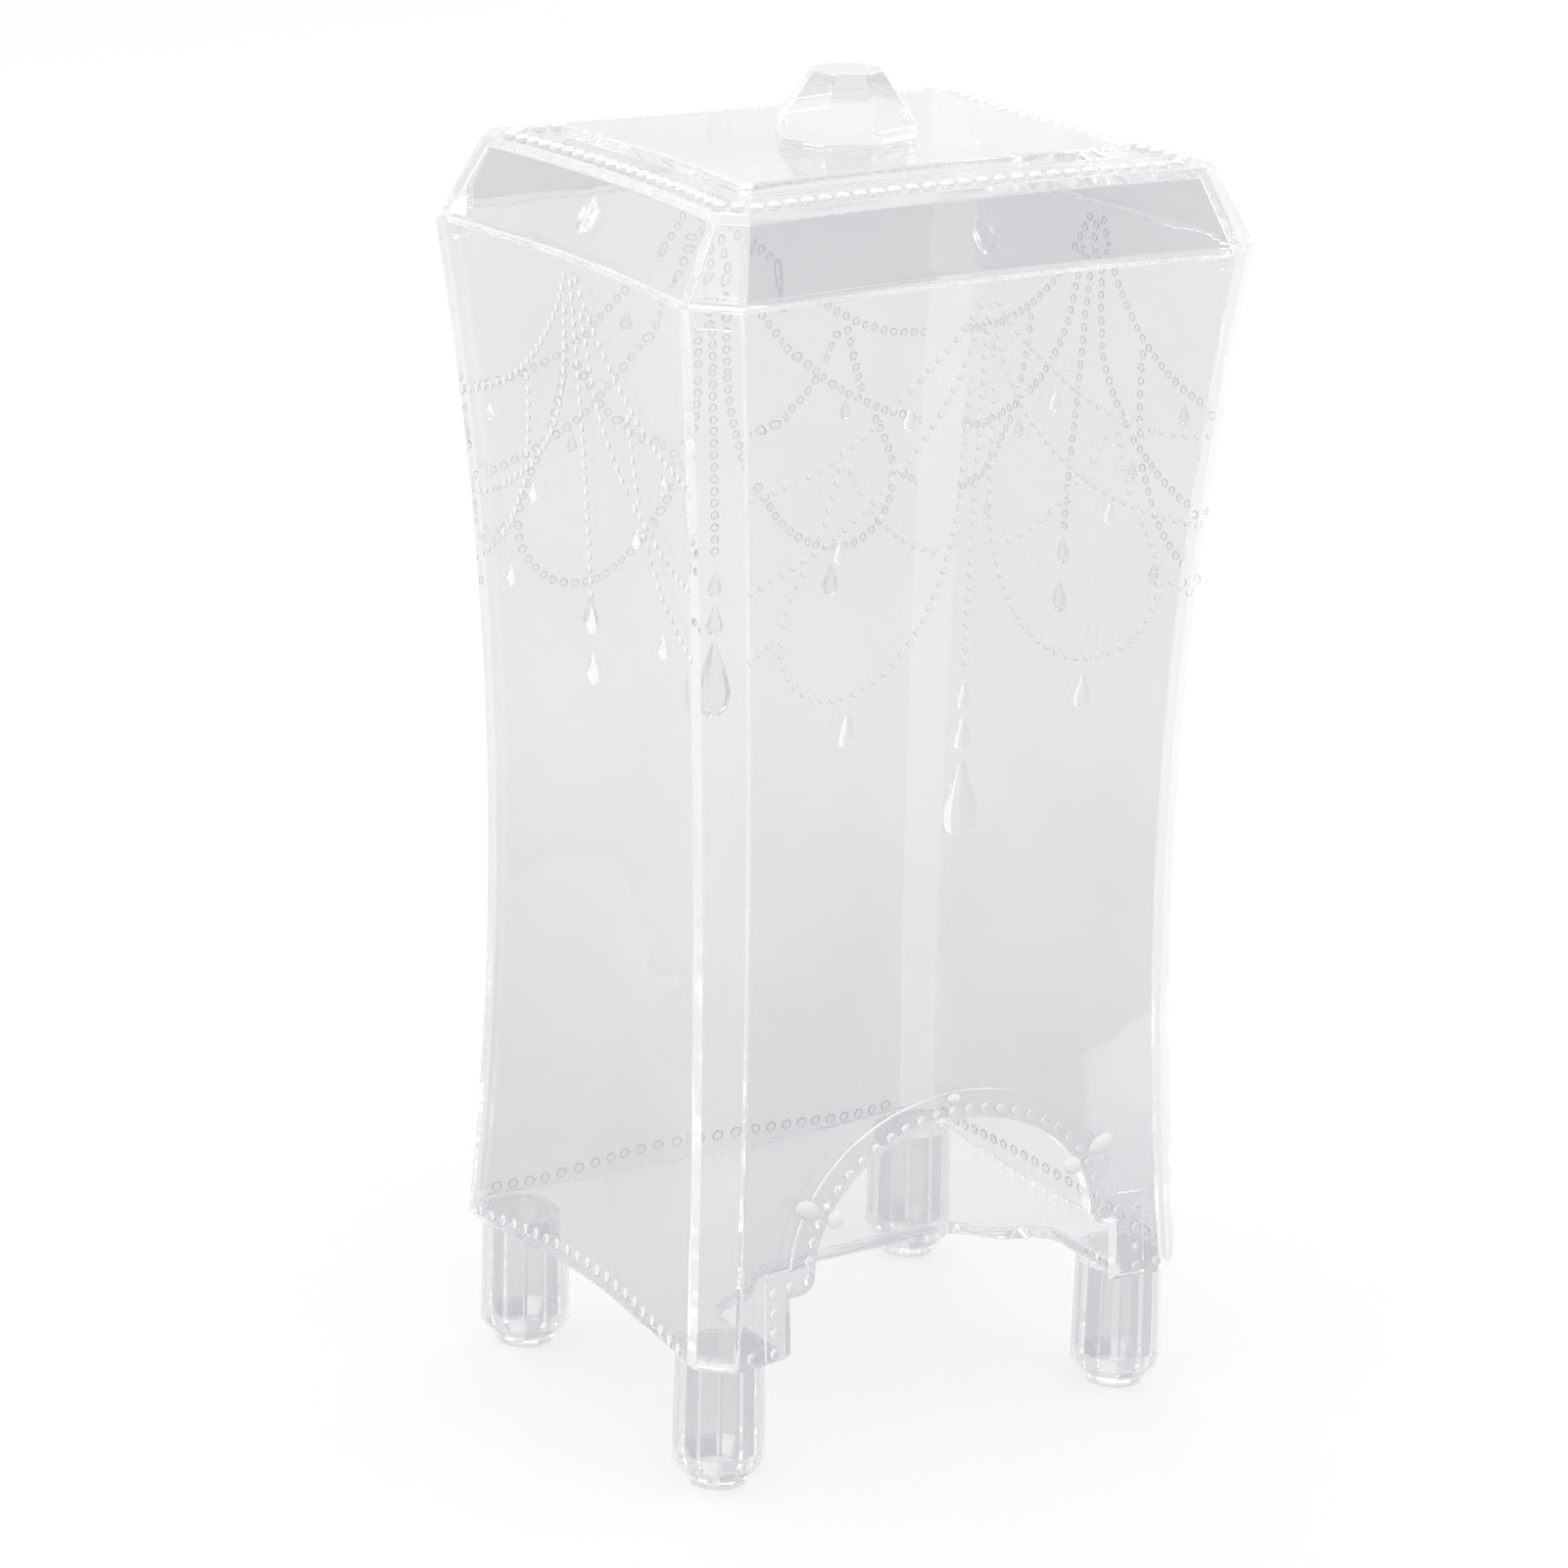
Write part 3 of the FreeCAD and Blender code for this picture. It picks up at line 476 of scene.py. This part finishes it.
def beads(node, name, height, crease_and_painted_ring, rings=5, sides=12):
    """One dome for each bead of a node.

    height is a share of the radius, and crease_and_painted_ring, its frosted white foot, partly
    a real crease and partly a painted highlight, a share of the height."""
    row = bmesh.new()
    bmesh.ops.create_uvsphere(row, u_segments=sides, v_segments=2 * rings, radius=1.0)
    everything = row.verts[:] + row.edges[:] + row.faces[:]
    bmesh.ops.bisect_plane(row, geom=everything, dist=1e-5, plane_co=(0, 0, 0),
                           plane_no=(0, 0, 1), clear_inner=True)
    rim = [e for e in row.edges if e.is_boundary]
    bmesh.ops.contextual_create(row, geom=rim)
    bmesh.ops.recalc_face_normals(row, faces=row.faces)
    for face in row.faces:
        # Painted highlight: the ring at the dome's foot gets the frosted white plastic, partly a
        # real crease and partly standing in for the bright ring of bent lamp light.
        face.material_index = 1 if 0.0 < face.calc_center_median().z < crease_and_painted_ring else 0
    pattern = row.verts[:] + row.edges[:] + row.faces[:]
    places = bead_places(node)
    for centre, outward, radius in places:
        copy = bmesh.ops.duplicate(row, geom=pattern)["geom"]
        turn = Vector((0, 0, 1)).rotation_difference(outward).to_matrix().to_4x4()
        size = Matrix.Diagonal((radius, radius, radius * height, 1.0))
        place = Matrix.Translation(centre) @ turn @ size
        bmesh.ops.transform(row, matrix=place, verts=corners_of(copy))
    bmesh.ops.delete(row, geom=corners_of(pattern), context="VERTS")
    faces = len(row.faces)
    piece = finished(name, row, [node], DOME_SHADING, (bead_plastic, frosted_plastic))
    print(name, len(places), "beads,", faces, "faces")
    return piece


# %% Place every row and string of beads
ROUND_BEADS = ("arch_beads", "lid_bead_border")
STRING_HEIGHT, STRING_CREASE_AND_PAINTED_RING = 0.5, 0.55
ROUND_HEIGHT, ROUND_CREASE_AND_PAINTED_RING = 0.7, 0.25
for node in [n for n in nodes if n.startswith(("festoon_", "skirt_beads_"))]:
    beads(node, node + "_domes", STRING_HEIGHT, STRING_CREASE_AND_PAINTED_RING)
for node in ROUND_BEADS:
    beads(node, node + "_domes", ROUND_HEIGHT, ROUND_CREASE_AND_PAINTED_RING)

# %% [markdown]
# ## Drops, stones and leaves
#
# The faceted drops keep their flat facets, with only a fine round along each edge. The oval
# stones and leaves are smooth domes, so their copies are only joined and shaded.

# %% Drops and stones
for node in [n for n in nodes if n.startswith(("pendants_", "teardrop_"))]:
    rounded_copy(node, node + "_cut", 0.06 * MM, plastics=(drop_plastic,))
for node in [n for n in nodes if n.startswith("lid_cabochon_")]:
    finished(node + "_smooth", joined_copy(node), [node], DOME_SHADING, (drop_plastic,))
for node in [n for n in nodes if n.startswith(("arch_leaf_", "arch_crest"))]:
    finished(node + "_smooth", joined_copy(node), [node], DOME_SHADING, (frosted_plastic,))

# %% [markdown]
# ## The studio
#
# A pale floor, a soft even world and five small soft lamps. Clear plastic shows its
# surroundings, so the world and the floor are plain white to the camera and to every ray that
# is mirrored or bent, while the light that falls on surfaces stays at a plain level. That
# could be done with brighter lamps instead, but they would burn out anything pale. The lamps
# are there for highlights, and are small because a large one fills a whole facet.

# %% World
def any_of(tree, path, names):
    """1 where any of these kinds of ray looks, otherwise 0."""
    total = path.outputs[names[0]]
    for name in names[1:]:
        add = tree.nodes.new("ShaderNodeMath")
        add.operation = "MAXIMUM"
        tree.links.new(total, add.inputs[0])
        tree.links.new(path.outputs[name], add.inputs[1])
        total = add.outputs[0]
    return total


LOOKING = ("Is Camera Ray", "Is Glossy Ray", "Is Transmission Ray")
AMBIENT = 0.95

world = bpy.data.worlds.new("studio")
bpy.context.scene.world = world
world.use_nodes = True
sky = world.node_tree
sky.nodes.clear()
lighting = sky.nodes.new("ShaderNodeBackground")
lighting.inputs["Strength"].default_value = AMBIENT
seen = sky.nodes.new("ShaderNodeBackground")
seen.inputs["Strength"].default_value = 1.0
for background in (lighting, seen):
    background.inputs["Color"].default_value = (1.0, 1.0, 1.0, 1.0)
choose = sky.nodes.new("ShaderNodeMixShader")
sky.links.new(any_of(sky, sky.nodes.new("ShaderNodeLightPath"), LOOKING), choose.inputs[0])
sky.links.new(lighting.outputs[0], choose.inputs[1])
sky.links.new(seen.outputs[0], choose.inputs[2])
sky_output = sky.nodes.new("ShaderNodeOutputWorld")
sky.links.new(choose.outputs[0], sky_output.inputs["Surface"])

# %% Floor
FLOOR_SIDE = 6.0
FLOOR_GLOW = 0.52
FLOOR_GREY = 0.42

floor_skin = bmesh.new()
bmesh.ops.create_grid(floor_skin, x_segments=4, y_segments=4, size=FLOOR_SIDE / 2)
floor_mesh = bpy.data.meshes.new("studio_floor")
floor_skin.to_mesh(floor_mesh)
floor_skin.free()
studio_floor = bpy.data.objects.new("studio_floor", floor_mesh)
bpy.context.scene.collection.objects.link(studio_floor)
paper = bpy.data.materials.new("floor_paper")
paper.use_nodes = True
tree = paper.node_tree
tree.nodes.clear()
matt = tree.nodes.new("ShaderNodeBsdfDiffuse")
matt.inputs["Color"].default_value = (FLOOR_GREY, FLOOR_GREY, FLOOR_GREY, 1.0)
glow = tree.nodes.new("ShaderNodeEmission")
strength = tree.nodes.new("ShaderNodeMath")
strength.operation = "MULTIPLY"
strength.inputs[1].default_value = FLOOR_GLOW
tree.links.new(any_of(tree, tree.nodes.new("ShaderNodeLightPath"), LOOKING), strength.inputs[0])
tree.links.new(strength.outputs[0], glow.inputs["Strength"])
both = tree.nodes.new("ShaderNodeAddShader")
tree.links.new(matt.outputs[0], both.inputs[0])
tree.links.new(glow.outputs[0], both.inputs[1])
floor_output = tree.nodes.new("ShaderNodeOutputMaterial")
tree.links.new(both.outputs[0], floor_output.inputs["Surface"])
floor_mesh.materials.append(paper)
studio_floor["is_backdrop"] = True

# %% Lamps
def soft_lamp(name, place, aim, side, power):
    """Square soft box that looks at a point."""
    light = bpy.data.lights.new(name, "AREA")
    light.shape = "SQUARE"
    light.size = side
    light.energy = power
    lamp = bpy.data.objects.new(name, light)
    lamp.location = place
    lamp.rotation_euler = (Vector(aim) - Vector(place)).to_track_quat("-Z", "Y").to_euler()
    bpy.context.scene.collection.objects.link(lamp)
    return lamp


middle = Vector((0.0, 0.0, cad_high[2] / 2))
# name: (place in metres, side in metres, power in watts)
LAMPS = {
    "lamp_above": ((-0.2, 0.1, 1.3), 0.5, 2.5),
    "lamp_left": ((-1.1, -0.5, 0.6), 0.35, 1.5),
    "lamp_right": ((1.25, -0.45, 0.6), 0.35, 1.2),
    "lamp_rear_left": ((-1.0, 0.9, 0.7), 0.35, 1.5),
    "lamp_rear_right": ((1.1, 0.8, 0.8), 0.35, 1.5),
}
for name, (place, side, power) in LAMPS.items():
    soft_lamp(name, place, middle, side, power)
bpy.context.scene.view_settings.view_transform = "Standard"

# %% [markdown]
# ## Light paths
#
# Light crosses many surfaces here: two for each wall, two more for each bead, and several
# mirror bounces inside an edge. With the usual limits those paths would end early and leave
# black specks, so the limits are raised.

# %% Path limits
cycles = bpy.context.scene.cycles
cycles.max_bounces = 256
cycles.transmission_bounces = 128
cycles.glossy_bounces = 256
cycles.transparent_max_bounces = 32

# %% Sizes
shown_low, shown_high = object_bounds()
shown = [round((high - low) / MM, 1) for low, high in zip(shown_low, shown_high)]
print("the dressed piece measures", shown, "mm")
